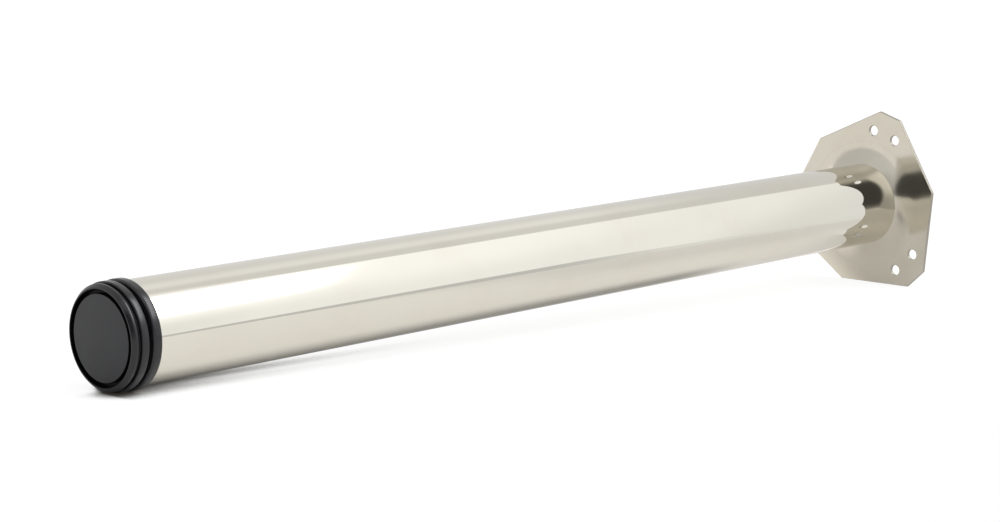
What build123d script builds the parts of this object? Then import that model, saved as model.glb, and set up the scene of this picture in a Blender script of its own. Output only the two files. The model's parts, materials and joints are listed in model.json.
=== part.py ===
from build123d import *
from math import atan2, cos, degrees, radians, sin, sqrt
import os

# Round plated steel table leg with a lobed screw plate and a black foot that screws out for height.
# Each piece is drawn about the leg's own axis, with the sole at height 0 and the table face at
# LEG_LENGTH. The whole leg is then laid down as it rests on a floor: on one long edge of the plate
# and on the plug's flange. All sizes are in millimetres.

# Leg
LEG_LENGTH = 710.0               # sole to table face, with the foot screwed home
TUBE_DIAMETER = 60.0
TUBE_WALL = 1.2

# Mounting plate
LOBE_COUNT = 3
PLATE_THICKNESS = 2.5
LOBE_REACH = 70.8                # axis to the flat tip of a lobe
LOBE_TIP_WIDTH = 18.6
WAIST_REACH = 62.1               # axis to the corner half-way between two lobes
PLATE_CORNER_RADIUS = 1.0
DISH_WIDTH = 14.0                # ring pressed round the tube, steeper towards the tube
DISH_DEPTH = 2.0
DISH_BEND_WIDTH = 7.5            # outer, gentler part of the ring
DISH_BEND_DEPTH = 0.55
SCREW_HOLE_DIAMETER = 7.5
SCREW_HOLE_REACH = 55.1          # axis to the line through a pair of holes
SCREW_HOLE_SPACING = 20.0
TUBE_HOLE_CLEARANCE = 0.15
TUBE_END_SETBACK = 0.6           # tube end below the table face

# Thread shared by the stud and the nut
THREAD_DIAMETER = 10.0
THREAD_CLEARANCE = 0.15
FOOT_TRAVEL = 19.5
STUD_SPARE = 1.0                 # thread left beyond the nut at full travel
STUD_HEAD_DIAMETER = 18.0
STUD_HEAD_HEIGHT = 3.0
STUD_CHAMFER = 1.0
NUT_ACROSS_FLATS = 17.0
NUT_HEIGHT = 8.0
NUT_CLEARANCE = 0.1
NUT_CHAMFER = 0.9

# Plug pressed into the tube
FLANGE_OVERHANG = 1.5            # flange beyond the tube's surface
FLANGE_HEIGHT = 5.7
FLANGE_FRONT_CHAMFER = 1.1
FLANGE_BACK_CHAMFER = 0.4
PLUG_CLEARANCE = 0.2             # skirt to the tube's inner wall
PLUG_LENGTH = 24.0
PLUG_WALL = 2.4
PLUG_WEB = 2.6
PLUG_RIB_COUNT = 6
PLUG_RIB_THICKNESS = 2.0
PLUG_RIB_DROP = 3.0              # ribs end this far below the skirt's rim
BOSS_WALL = 3.0
BOSS_BACKING = 4.0               # boss behind the nut
STUD_BORE_CLEARANCE = 0.3

# Foot, from the sole upwards
FRONT_RING_STEP = 1.3            # front ring inside the flange's radius
FRONT_RING_HEIGHT = 3.4
FRONT_TAPER_WIDTH = 2.5
FRONT_TAPER_HEIGHT = 2.3
LIP_WIDTH = 1.0
CAP_GROOVE = 1.7                 # open groove between the cap and the lip
CAP_RECESS = 0.5                 # cap face behind the lip
CAP_THICKNESS = 2.5
CAP_CHAMFER = 0.4
RING_GROOVE_DEPTH = 1.6
RING_GROOVE_HEIGHT = 2.0
GRIP_RING_STEP = 0.4             # grip ring inside the flange's radius
GRIP_RING_HEIGHT = 4.8
GRIP_CHAMFER = 0.6
NECK_DEPTH = 2.9
NECK_HEIGHT = 2.4
SEAT_GAP = 0.2                   # foot to flange when screwed home
FOOT_WALL = 2.5
FOOT_RIB_COUNT = 6
FOOT_RIB_THICKNESS = 2.0
FOOT_RIB_DROP = 0.6              # ribs end this far below the neck's rim
HEAD_PLAY = 0.1                  # end play of the stud's head in the foot
HEAD_CLEARANCE = 0.3

# Radii that follow from the tube
tube_r = TUBE_DIAMETER / 2
tube_bore_r = tube_r - TUBE_WALL
flange_r = tube_r + FLANGE_OVERHANG
plug_r = tube_bore_r - PLUG_CLEARANCE
plug_inner_r = plug_r - PLUG_WALL
grip_r = flange_r - GRIP_RING_STEP
front_r = flange_r - FRONT_RING_STEP
ring_groove_r = front_r - RING_GROOVE_DEPTH
neck_r = grip_r - NECK_DEPTH
lip_r = front_r - FRONT_TAPER_WIDTH
cap_pocket_r = lip_r - LIP_WIDTH
cap_r = cap_pocket_r - CAP_GROOVE
plate_hole_r = tube_r + TUBE_HOLE_CLEARANCE
dish_r = tube_r + DISH_WIDTH
dish_bend_r = dish_r - DISH_BEND_WIDTH

# Radii that follow from the thread
thread_r = THREAD_DIAMETER / 2
stud_bore_r = thread_r + STUD_BORE_CLEARANCE
head_r = STUD_HEAD_DIAMETER / 2
head_pocket_r = head_r + HEAD_CLEARANCE
foot_hub_r = head_pocket_r + FOOT_WALL
nut_corner_r = NUT_ACROSS_FLATS / sqrt(3)
boss_r = nut_corner_r + BOSS_WALL

# Heights along the axis, from the sole to the table face
cap_seat_z = CAP_RECESS + CAP_THICKNESS
head_z = cap_seat_z + HEAD_PLAY
head_top_z = head_z + STUD_HEAD_HEIGHT
head_ceiling_z = head_top_z + HEAD_PLAY
foot_web_z = cap_seat_z + FOOT_WALL
groove_z = FRONT_RING_HEIGHT
grip_z = groove_z + RING_GROOVE_HEIGHT
neck_z = grip_z + GRIP_RING_HEIGHT
foot_top_z = neck_z + NECK_HEIGHT
flange_z = foot_top_z + SEAT_GAP
nut_z = flange_z + NUT_CLEARANCE
nut_top_z = nut_z + NUT_HEIGHT
tube_z = flange_z + FLANGE_HEIGHT
plug_top_z = tube_z + PLUG_LENGTH
stud_top_z = nut_top_z + FOOT_TRAVEL + STUD_SPARE
table_z = LEG_LENGTH
plate_z = table_z - PLATE_THICKNESS
tube_top_z = table_z - TUBE_END_SETBACK
dish_slope = (DISH_DEPTH - DISH_BEND_DEPTH) / (dish_bend_r - plate_hole_r)

# The long plate edge the leg rests on: its normal measured from the lobe beside it, and its distance
lobe_pitch = 360 / LOBE_COUNT
half_tip = LOBE_TIP_WIDTH / 2
waist_u = WAIST_REACH * cos(radians(lobe_pitch / 2))
waist_v = WAIST_REACH * sin(radians(lobe_pitch / 2))
edge_normal = atan2(LOBE_REACH - waist_u, waist_v - half_tip)
edge_distance = LOBE_REACH * cos(edge_normal) + half_tip * sin(edge_normal)
first_lobe_angle = -90 - degrees(edge_normal)


def turned(*points):
    """Solid of revolution of a closed outline of (radius, height) points."""
    return revolve(Plane.XZ * make_face(Polyline(*points, close=True)), Axis.Z)


def ring(outer_r, inner_r, low_z, high_z):
    """Plain cylindrical ring."""
    return turned((inner_r, low_z), (outer_r, low_z), (outer_r, high_z), (inner_r, high_z))


def round_bar(radius, low_z, high_z):
    """Plain cylinder on the leg's axis."""
    return Pos(0, 0, low_z) * Cylinder(radius, high_z - low_z, align=(Align.CENTER, Align.CENTER, Align.MIN))


def radial_ribs(count, thickness, inner_r, outer_r, low_z, high_z):
    """Even pattern of straight ribs that run from inner_r out to outer_r."""
    rib = Pos(0, 0, low_z) * Box(outer_r, thickness, high_z - low_z, align=(Align.MIN, Align.CENTER, Align.MIN))
    ribs = Part() + [Rot(0, 0, 360 * k / count) * rib for k in range(count)]
    return ribs & ring(outer_r, inner_r, low_z, high_z)


def leg_tube():
    """Welded steel tube, cut square at both ends."""
    return ring(tube_r, tube_bore_r, tube_z, tube_top_z)


def lobe_point(lobe, u, v):
    """Point u out along a lobe's middle line and v to its side."""
    return Vector(u, v).rotate(Axis.Z, first_lobe_angle + lobe * lobe_pitch)


def plate_outline():
    """Lobed outline: a flat tip on each lobe and one corner half-way to the next."""
    corners = []
    for lobe in range(LOBE_COUNT):
        corners.append(lobe_point(lobe, LOBE_REACH, -half_tip))
        corners.append(lobe_point(lobe, LOBE_REACH, half_tip))
        corners.append(lobe_point(lobe, waist_u, waist_v))
    outline = make_face(Polyline(*corners, close=True))
    return fillet(outline.vertices(), PLATE_CORNER_RADIUS)


def plate_dish():
    """Sheet ring that bends from the flat plate to the tube hole, towards the foot."""
    return turned(
        (plate_hole_r, plate_z - DISH_DEPTH),
        (dish_bend_r, plate_z - DISH_BEND_DEPTH),
        (dish_r, plate_z),
        (dish_r, table_z),
        (dish_bend_r, table_z - DISH_BEND_DEPTH),
        (plate_hole_r, table_z - DISH_DEPTH),
    )


def mounting_plate():
    """Pressed sheet plate with the dish round the tube and a pair of screw holes in each lobe."""
    sheet = Pos(0, 0, plate_z) * extrude(plate_outline(), PLATE_THICKNESS)
    plate = sheet - round_bar(dish_r, plate_z, table_z) + plate_dish()
    drill = round_bar(SCREW_HOLE_DIAMETER / 2, plate_z, table_z)
    for lobe in range(LOBE_COUNT):
        for side in (-1, 1):
            hole = lobe_point(lobe, SCREW_HOLE_REACH, side * SCREW_HOLE_SPACING / 2)
            plate -= Pos(hole.X, hole.Y, 0) * drill
    return plate


def weld_bead():
    """Ring weld in the dish's recess, from the sloping sheet up to the tube's end."""
    root_z = table_z - DISH_DEPTH - TUBE_HOLE_CLEARANCE * dish_slope
    size = tube_top_z - root_z
    toe = (tube_r + size, root_z + size * dish_slope)
    return turned((tube_r, root_z), toe, (tube_r, tube_top_z))


def foot_insert():
    """Moulded plug: flange, hollow skirt, and a ribbed boss with a hexagon pocket for the nut."""
    web_z = flange_z + PLUG_WEB
    boss_top_z = nut_top_z + BOSS_BACKING
    plug = turned(
        (stud_bore_r, flange_z),
        (flange_r - FLANGE_FRONT_CHAMFER, flange_z),
        (flange_r, flange_z + FLANGE_FRONT_CHAMFER),
        (flange_r, tube_z - FLANGE_BACK_CHAMFER),
        (flange_r - FLANGE_BACK_CHAMFER, tube_z),
        (plug_r, tube_z),
        (plug_r, plug_top_z),
        (plug_inner_r, plug_top_z),
        (plug_inner_r, web_z),
        (boss_r, web_z),
        (boss_r, boss_top_z),
        (stud_bore_r, boss_top_z),
    )
    rib_top_z = min(boss_top_z, plug_top_z - PLUG_RIB_DROP)
    plug += radial_ribs(PLUG_RIB_COUNT, PLUG_RIB_THICKNESS, boss_r, plug_inner_r, web_z, rib_top_z)
    pocket_size = NUT_ACROSS_FLATS / 2 + NUT_CLEARANCE
    pocket = extrude(RegularPolygon(pocket_size, 6, major_radius=False), nut_top_z - flange_z)
    return plug - Pos(0, 0, flange_z) * pocket


def insert_nut():
    """Hexagon nut with chamfered corners, seated on the floor of the plug's pocket."""
    prism = extrude(RegularPolygon(NUT_ACROSS_FLATS / 2, 6, major_radius=False), NUT_HEIGHT)
    blank = round_bar(nut_corner_r, 0, NUT_HEIGHT)
    blank = chamfer(blank.edges().filter_by(GeomType.CIRCLE), NUT_CHAMFER / sqrt(3), NUT_CHAMFER)
    bore = round_bar(thread_r + THREAD_CLEARANCE, 0, NUT_HEIGHT)
    return Pos(0, 0, nut_z) * ((prism & blank) - bore)


def levelling_stud():
    """Threaded stud with a round head, drawn at the thread's outer diameter."""
    head = round_bar(head_r, head_z, head_top_z)
    shank = round_bar(thread_r, head_top_z, stud_top_z)
    return head + chamfer(shank.edges().sort_by(Axis.Z)[-1], STUD_CHAMFER)


def foot_body():
    """Moulded foot: tapered front ring, grip ring and neck, cored and ribbed from behind."""
    core_r = neck_r - FOOT_WALL
    foot = turned(
        (cap_pocket_r, 0),
        (lip_r, 0),
        (front_r, FRONT_TAPER_HEIGHT),
        (front_r, groove_z),
        (ring_groove_r, groove_z),
        (ring_groove_r, grip_z),
        (grip_r - GRIP_CHAMFER, grip_z),
        (grip_r, grip_z + GRIP_CHAMFER),
        (grip_r, neck_z - GRIP_CHAMFER),
        (grip_r - GRIP_CHAMFER, neck_z),
        (neck_r, neck_z),
        (neck_r, foot_top_z),
        (core_r, foot_top_z),
        (core_r, foot_web_z),
        (foot_hub_r, foot_web_z),
        (foot_hub_r, foot_top_z),
        (stud_bore_r, foot_top_z),
        (stud_bore_r, head_ceiling_z),
        (head_pocket_r, head_ceiling_z),
        (head_pocket_r, cap_seat_z),
        (cap_pocket_r, cap_seat_z),
    )
    rib_top_z = foot_top_z - FOOT_RIB_DROP
    return foot + radial_ribs(FOOT_RIB_COUNT, FOOT_RIB_THICKNESS, foot_hub_r, core_r, foot_web_z, rib_top_z)


def sole_cap():
    """Round cap on the sole, which closes the pocket of the stud's head."""
    cap = round_bar(cap_r, CAP_RECESS, cap_seat_z)
    return chamfer(cap.edges().sort_by(Axis.Z)[0], CAP_CHAMFER)


def resting_location(shapes):
    """Lays the leg's axis along +X, on the flange's front edge and the plate edge below it.

    The floor line runs from the foot-side edge of the plate to the edge where the flange's chamfer ends.
    The origin is then moved under the middle of the leg's box.
    """
    tilt = atan2(edge_distance - flange_r, plate_z - flange_z - FLANGE_FRONT_CHAMFER)
    lying = Plane(origin=(0, 0, 0), x_dir=(0, 1, 0), z_dir=(cos(tilt), 0, sin(tilt))).location
    box = Compound(children=[lying * shape for shape in shapes]).bounding_box()
    middle = box.center()
    return Pos(-middle.X, -middle.Y, -box.min.Z) * lying


def main():
    """Builds every piece, lays the leg down and writes one file for each piece."""
    makers = [
        leg_tube,
        mounting_plate,
        weld_bead,
        foot_insert,
        insert_nut,
        levelling_stud,
        foot_body,
        sole_cap,
    ]
    pieces = {maker.__name__: maker() for maker in makers}
    resting = resting_location(pieces.values())
    os.makedirs("parts", exist_ok=True)
    for name, shape in pieces.items():
        export_step(resting * shape, f"parts/{name}.step")


main()
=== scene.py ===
"""Finished look of a round plated table leg with a lobed screw plate and a black levelling foot.

Each piece is worked out in the leg's own axes (side, up, along), with the sole's centre at zero, and is
then placed in the frame. Lengths are in metres.
"""

import json
import logging
import math
from dataclasses import dataclass
from enum import Enum
from typing import Any, Optional

import bmesh
import bpy
import numpy as np
from mathutils import Matrix, Vector
from mathutils.geometry import delaunay_2d_cdt


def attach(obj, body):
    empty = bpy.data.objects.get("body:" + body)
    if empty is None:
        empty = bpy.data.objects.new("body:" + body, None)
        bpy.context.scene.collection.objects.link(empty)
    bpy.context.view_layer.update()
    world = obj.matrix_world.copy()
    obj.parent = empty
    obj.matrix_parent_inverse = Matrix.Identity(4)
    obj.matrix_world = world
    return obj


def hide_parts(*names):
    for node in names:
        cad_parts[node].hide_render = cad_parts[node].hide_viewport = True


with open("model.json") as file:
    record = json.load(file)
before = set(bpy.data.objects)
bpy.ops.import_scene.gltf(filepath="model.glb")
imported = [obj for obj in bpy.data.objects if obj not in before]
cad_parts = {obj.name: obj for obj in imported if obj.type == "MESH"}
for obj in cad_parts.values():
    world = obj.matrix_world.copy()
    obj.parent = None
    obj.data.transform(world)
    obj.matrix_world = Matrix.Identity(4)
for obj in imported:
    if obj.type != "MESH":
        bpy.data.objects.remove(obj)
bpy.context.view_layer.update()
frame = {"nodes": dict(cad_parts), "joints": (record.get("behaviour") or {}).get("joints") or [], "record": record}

MM = 0.001
PLACE_ATTRIBUTE = "leg_place"

# how far the painted black shade of the groove reaches past its walls, and how far the cut edges' dull, partly
# painted shade, stays off the faces
GROOVE_SHADE_MARGIN = 0.3 * MM
CUT_MARGIN = 0.02 * MM

# points nearer than this are one point, and smaller lengths and angles count as none
MERGE_DISTANCE = 1e-7
TINY = 1e-9

# steps round the axis, and in the arc of a rounded corner
LATHE_SEGMENTS = 240
ARC_STEPS = 6

# sockets of a Mix node that carry colours
MIX_FIRST, MIX_SECOND, MIX_RESULT = 6, 7, 2

Colour = tuple[float, float, float, float]
Triple = tuple[float, float, float]
Range = tuple[float, float]
Socket = bpy.types.NodeSocket

WHITE: Colour = (1.0, 1.0, 1.0, 1.0)

log = logging.getLogger("table_leg")


class Body(Enum):
    """Moving bodies of the leg."""

    LEG = "leg"
    STUD = "stud"
    FOOT = "foot"


class Slot(Enum):
    """Material slots of the record."""

    TUBE = "plated_tube"
    PLATE = "plated_plate"
    WELD = "weld_metal"
    PLASTIC = "black_plastic"
    CAP = "grey_cap"
    ZINC = "zinc_steel"


@dataclass(frozen=True)
class LegAxes:
    """The leg's own axes, from the centre of the sole towards the table."""

    sole: np.ndarray
    along: np.ndarray

    @classmethod
    def from_frame(cls) -> "LegAxes":
        """Reads the axes from the joint that the foot turns on.

        Returns:
            The axes, with the sole at the joint's own point.
        """
        joint = next(item for item in frame["joints"] if item["name"] == "foot_turn")
        return cls(np.array(joint["pos_m"]), -np.array(joint["axis"]))

    @property
    def matrix(self) -> np.ndarray:
        """Rows are the side, up and along directions in the frame."""
        side = np.array([0.0, 1.0, 0.0])
        return np.stack([side, np.cross(self.along, side), self.along])

    def place(self, points: np.ndarray) -> np.ndarray:
        """Gives the frame's coordinates of points in the leg's axes."""
        return self.sole + points @ self.matrix

    def local(self, points: np.ndarray) -> np.ndarray:
        """Gives the leg's coordinates of points in the frame."""
        return (points - self.sole) @ self.matrix.T

    def mount(self, name: str) -> np.ndarray:
        """Gives a mount's place in the leg's axes.

        Args:
            name: The mount's name in the record.

        Returns:
            Its side, up and along coordinates.
        """
        found = next(item for item in frame["record"]["mounts"] if item["name"] == name)
        return self.local(np.array(found["pos_m"]))


@dataclass(frozen=True)
class Span:
    """Lowest and highest place along the axis, and the largest radius, of a solid of the frame."""

    low: float
    high: float
    radius: float

    @classmethod
    def of(cls, node: str, axes: LegAxes) -> "Span":
        """Measures a solid.

        Args:
            node: The solid's name in the frame.
            axes: The leg's axes.

        Returns:
            Its span along the axis and its radius.
        """
        mesh = frame["nodes"][node].data
        flat = np.empty(3 * len(mesh.vertices))
        mesh.vertices.foreach_get("co", flat)
        local = axes.local(flat.reshape(-1, 3))
        radius = np.hypot(local[:, 0], local[:, 1]).max()
        return cls(float(local[:, 2].min()), float(local[:, 2].max()), float(radius))


@dataclass
class Shell:
    """Surface in the leg's axes: points, and blocks of faces that each have one number of corners."""

    points: np.ndarray
    faces: list[np.ndarray]

    def __add__(self, other: "Shell") -> "Shell":
        """Joins two surfaces into one."""
        shifted = [block + len(self.points) for block in other.faces]
        return Shell(np.concatenate([self.points, other.points]), self.faces + shifted)


def rounded(profile: np.ndarray, steps: int = ARC_STEPS) -> tuple[np.ndarray, np.ndarray]:
    """Rounds the corners of a closed outline.

    For a corner P with unit vectors a and b towards its neighbours and the angle w between them, the arc
    of radius r touches both sides at r / tan(w/2) from P, and its centre lies at r / sin(w/2) from P on
    the line that halves the angle. The arc's points turn evenly from one touching point to the other.

    Args:
        profile: One row for each corner: its two coordinates and its radius, 0 for a sharp one.
        steps: Number of pieces in each arc.

    Returns:
        The new outline, and the number of the corner that each of its points belongs to.
    """
    corners, radii = profile[:, :2], profile[:, 2]
    before = np.roll(corners, 1, axis=0) - corners
    after = np.roll(corners, -1, axis=0) - corners
    a = before / np.linalg.norm(before, axis=1, keepdims=True)
    b = after / np.linalg.norm(after, axis=1, keepdims=True)
    half = np.arccos(np.clip(np.sum(a * b, axis=1), -1, 1)) / 2
    setback = (radii / np.tan(half))[:, None]
    bisector = a + b
    length = np.maximum(np.linalg.norm(bisector, axis=1, keepdims=True), TINY)
    centre = corners + bisector / length * (radii / np.sin(half))[:, None]
    sweep = np.maximum(math.pi - 2 * half, TINY)[:, None, None]
    share = np.linspace(0, 1, steps + 1)[None, :, None]
    start = (corners + a * setback - centre)[:, None, :]
    end = (corners + b * setback - centre)[:, None, :]
    arc = (np.sin((1 - share) * sweep) * start + np.sin(share * sweep) * end) / np.sin(sweep)
    points = (centre[:, None, :] + arc).reshape(-1, 2)
    owner = np.repeat(np.arange(len(corners)), steps + 1)
    fresh = np.linalg.norm(points - np.roll(points, 1, axis=0), axis=1) > MERGE_DISTANCE
    return points[fresh], owner[fresh]


def grid_faces(rows: int, columns: int, closed: bool) -> np.ndarray:
    """Gives the quads of a grid whose rows wrap round.

    Args:
        rows: Number of rows, the last of which meets the first.
        columns: Number of points in a row.
        closed: Whether the last column meets the first too.

    Returns:
        One row of four point numbers for each quad.
    """
    row = np.arange(rows)[:, None]
    column = np.arange(columns if closed else columns - 1)[None, :]
    next_row = (row + 1) % rows
    next_column = (column + 1) % columns
    corners = [(row, column), (next_row, column), (next_row, next_column), (row, next_column)]
    return np.stack([r * columns + c for r, c in corners], axis=-1).reshape(-1, 4)


def turn(
    outline: np.ndarray,
    closed: bool = True,
    segments: int = LATHE_SEGMENTS,
    flats: Optional[np.ndarray] = None,
) -> Shell:
    """Turns an outline of (radius, height) points about the leg's axis.

    Point (i, j) is (r cos t, r sin t, z), with the angle t = 2 pi i / segments. On a row marked as flats
    the radius follows a hexagon: r / cos((t mod 60 degrees) - 30 degrees), where r is half its width.

    Args:
        outline: Outline points, anticlockwise as seen with the radius to the right.
        closed: Whether the outline's end meets its start.
        segments: Number of steps round the axis.
        flats: Marks the outline points that follow a hexagon.

    Returns:
        The turned surface.
    """
    angle = (2 * math.pi * np.arange(segments) / segments)[:, None]
    sixth = math.pi / 3
    hexagon = 1 / np.cos(np.mod(angle, sixth) - sixth / 2)
    marked = np.zeros(len(outline), bool) if flats is None else flats
    radius = np.where(marked[None, :], outline[None, :, 0] * hexagon, outline[None, :, 0])
    height = np.broadcast_to(outline[None, :, 1], radius.shape)
    points = np.stack([radius * np.cos(angle), radius * np.sin(angle), height], axis=-1)
    return Shell(points.reshape(-1, 3), [grid_faces(segments, len(outline), closed)])


def radial_ribs(
    count: int, thickness: float, inner: float, outer: float, low: float, high: float
) -> Shell:
    """Makes an even pattern of upright ribs between two round walls.

    Across a rib, at the offset t from its middle, an end on a wall of radius R lies at sqrt(R^2 - t^2).

    Args:
        count: Number of ribs.
        thickness: Width of a rib.
        inner: Radius of the inner wall.
        outer: Radius of the outer wall.
        low: Lowest place along the axis.
        high: Highest place along the axis.

    Returns:
        All the ribs.
    """
    offset = np.linspace(-0.5, 0.5, 3) * thickness
    across = np.concatenate([offset, offset[::-1]])
    wall = np.repeat([outer, inner], len(offset))
    outline = np.stack([np.sqrt(wall**2 - across**2), across], axis=1)
    turn_angle = 2 * math.pi * np.arange(count)[:, None] / count
    x = np.cos(turn_angle) * outline[:, 0] - np.sin(turn_angle) * outline[:, 1]
    y = np.sin(turn_angle) * outline[:, 0] + np.cos(turn_angle) * outline[:, 1]
    bottom = np.stack([x, y, np.full_like(x, low)], axis=-1)
    top = np.stack([x, y, np.full_like(x, high)], axis=-1)
    points = np.concatenate([bottom, top], axis=1)
    size = len(outline)
    ring = np.arange(size)
    walls = np.stack([ring, (ring + 1) % size, (ring + 1) % size + size, ring + size], axis=1)
    start = 2 * size * np.arange(count)[:, None, None]
    lids = np.stack([ring[::-1], ring + size])
    return Shell(points.reshape(-1, 3), [(start + walls).reshape(-1, 4), (start + lids).reshape(-1, size)])


class NodeBench:
    """Short calls that add and link the nodes of one node tree."""

    def __init__(self, tree: bpy.types.NodeTree) -> None:
        """Keeps the tree and empties it."""
        self.tree = tree
        self.tree.nodes.clear()

    def add(self, kind: str, inputs: Optional[dict[str, Any]] = None, **settings: Any) -> bpy.types.Node:
        """Adds a node.

        Args:
            kind: The node's type name.
            inputs: Values or sockets for its inputs, by name.
            settings: Values for its own properties.

        Returns:
            The new node.
        """
        node = self.tree.nodes.new(kind)
        for name, value in settings.items():
            setattr(node, name, value)
        for name, value in (inputs or {}).items():
            self.feed(node.inputs[name], value)
        return node

    def feed(self, socket: Socket, value: Any) -> None:
        """Links a socket to an input, or sets the input's own value."""
        if isinstance(value, Socket):
            self.tree.links.new(value, socket)
        else:
            socket.default_value = value

    def math(self, operation: str, first: Any, second: Any = 0.0) -> Socket:
        """Adds a Math node and gives its result."""
        node = self.add("ShaderNodeMath", operation=operation)
        self.feed(node.inputs[0], first)
        self.feed(node.inputs[1], second)
        return node.outputs["Value"]

    def product(self, *factors: Any) -> Socket:
        """Multiplies two or more values."""
        result = factors[0]
        for factor in factors[1:]:
            result = self.math("MULTIPLY", result, factor)
        return result

    def within(self, value: Any, limits: Range) -> Socket:
        """Gives 1 between two sharp limits and 0 outside them."""
        low, high = limits
        return self.product(self.math("GREATER_THAN", value, low), self.math("LESS_THAN", value, high))

    def fade(self, value: Any, enter: Optional[Range] = None, leave: Optional[Range] = None) -> Socket:
        """Gives 1 between two soft limits, each of which may be left open, and 0 outside them."""
        rising = 1.0 if enter is None else self.ramp(value, *enter)
        falling = 1.0 if leave is None else self.ramp(value, *leave, 1.0, 0.0)
        return self.product(rising, falling)

    def vector_math(self, operation: str, first: Any, second: Triple | Socket) -> bpy.types.Node:
        """Adds a Vector Math node."""
        node = self.add("ShaderNodeVectorMath", operation=operation)
        self.feed(node.inputs[0], first)
        self.feed(node.inputs[1], second)
        return node

    def vector(self, value: Triple) -> Socket:
        """Adds a fixed vector, for inputs that take one only from a link."""
        return self.add("ShaderNodeCombineXYZ", dict(zip("XYZ", value))).outputs["Vector"]

    def ramp(self, value: Any, start: float, end: float, low: float = 0.0, high: float = 1.0) -> Socket:
        """Adds a smooth step from low to high, as the value goes from start to end."""
        inputs = {"Value": value, "From Min": start, "From Max": end, "To Min": low, "To Max": high}
        node = self.add("ShaderNodeMapRange", inputs, interpolation_type="SMOOTHSTEP")
        return node.outputs["Result"]

    def noise(self, vector: Any, scale: Any, detail: float, roughness: float = 0.5) -> Socket:
        """Adds a noise texture and gives its value."""
        inputs = {"Vector": vector, "Scale": scale, "Detail": detail, "Roughness": roughness}
        return self.add("ShaderNodeTexNoise", inputs).outputs["Fac"]

    def blend(self, factor: Any, first: Any, second: Any) -> Socket:
        """Adds a mix of two values."""
        node = self.add("ShaderNodeMix", {"Factor": factor, "A": first, "B": second}, data_type="FLOAT")
        return node.outputs["Result"]

    def mix(self, factor: Any, first: Any, second: Any) -> Socket:
        """Adds a mix of two colours."""
        node = self.add("ShaderNodeMix", data_type="RGBA")
        self.feed(node.inputs["Factor"], factor)
        self.feed(node.inputs[MIX_FIRST], first)
        self.feed(node.inputs[MIX_SECOND], second)
        return node.outputs[MIX_RESULT]


class Effect(Enum):
    """Shader effects that several finishes share."""

    HANDLING = "handling_marks"
    LINES = "polishing_lines"
    GRAIN = "mould_grain"


class EffectShelf:
    """Builds each shared effect once, as a node group with named sockets."""

    fine_ratio = 7.0
    patch_range: Range = (0.42, 0.68)
    streak_range: Range = (0.35, 0.75)
    streak_levels: Range = (0.4, 1.0)
    swell_ratio = 0.12
    pit_share = 0.6

    def __init__(self) -> None:
        """Starts with no groups."""
        self.groups: dict[Effect, bpy.types.NodeTree] = {}

    def get(self, effect: Effect) -> bpy.types.NodeTree:
        """Gives an effect's group, and builds it at its first use."""
        if effect not in self.groups:
            makers = {
                Effect.HANDLING: self._handling_marks,
                Effect.LINES: self._polishing_lines,
                Effect.GRAIN: self._mould_grain,
            }
            self.groups[effect] = makers[effect]()
        return self.groups[effect]

    @staticmethod
    def _open(
        effect: Effect, inputs: dict[str, str], output: str
    ) -> tuple[NodeBench, bpy.types.Node, bpy.types.Node]:
        """Makes an empty group.

        Args:
            effect: The effect, whose value names the group.
            inputs: Socket type of each input, by name.
            output: Name of its one value output.

        Returns:
            A bench for its nodes, and its input and output nodes.
        """
        tree = bpy.data.node_groups.new(effect.value, "ShaderNodeTree")
        bench = NodeBench(tree)
        for name, kind in inputs.items():
            tree.interface.new_socket(name, in_out="INPUT", socket_type=kind)
        tree.interface.new_socket(output, in_out="OUTPUT", socket_type="NodeSocketFloat")
        return bench, bench.add("NodeGroupInput"), bench.add("NodeGroupOutput")

    def _handling_marks(self) -> bpy.types.NodeTree:
        """Cloudy smudges: broad soft patches broken up by finer ones, from 0 for clean to 1."""
        inputs = {"Place": "NodeSocketVector", "Scale": "NodeSocketFloat"}
        bench, source, result = self._open(Effect.HANDLING, inputs, "Mask")
        place = source.outputs["Place"]
        broad = bench.noise(place, source.outputs["Scale"], detail=2.0)
        fine_scale = bench.product(source.outputs["Scale"], self.fine_ratio)
        fine = bench.noise(place, fine_scale, detail=4.0, roughness=0.6)
        patches = bench.ramp(broad, *self.patch_range)
        streaks = bench.ramp(fine, *self.streak_range, *self.streak_levels)
        bench.feed(result.inputs["Mask"], bench.product(patches, streaks))
        return bench.tree

    def _polishing_lines(self) -> bpy.types.NodeTree:
        """Fine parallel lines: noise stretched by the Stretch vector, as a height from 0 to 1."""
        inputs = {"Place": "NodeSocketVector", "Stretch": "NodeSocketVector"}
        bench, source, result = self._open(Effect.LINES, inputs, "Height")
        stretched = bench.vector_math("MULTIPLY", source.outputs["Place"], source.outputs["Stretch"])
        lines = bench.noise(stretched.outputs["Vector"], scale=1.0, detail=3.0, roughness=0.65)
        bench.feed(result.inputs["Height"], lines)
        return bench.tree

    def _mould_grain(self) -> bpy.types.NodeTree:
        """Fine spark-eroded grain of a mould: small pits on a softer swell, as a height from 0 to 1."""
        inputs = {"Place": "NodeSocketVector", "Scale": "NodeSocketFloat"}
        bench, source, result = self._open(Effect.GRAIN, inputs, "Height")
        swell_scale = bench.product(source.outputs["Scale"], self.swell_ratio)
        swell = bench.noise(source.outputs["Place"], swell_scale, detail=2.0)
        pits = bench.noise(source.outputs["Place"], source.outputs["Scale"], detail=3.0, roughness=0.6)
        bench.feed(result.inputs["Height"], bench.blend(self.pit_share, swell, pits))
        return bench.tree


def effect_output(bench: NodeBench, shelf: EffectShelf, effect: Effect, inputs: dict[str, Any]) -> Socket:
    """Places a shared effect in a material.

    Args:
        bench: The material's bench.
        shelf: Where the effect's group comes from.
        effect: The effect.
        inputs: Values or sockets for the group's inputs.

    Returns:
        The group's output.
    """
    return bench.add("ShaderNodeGroup", inputs, node_tree=shelf.get(effect)).outputs[0]


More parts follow.
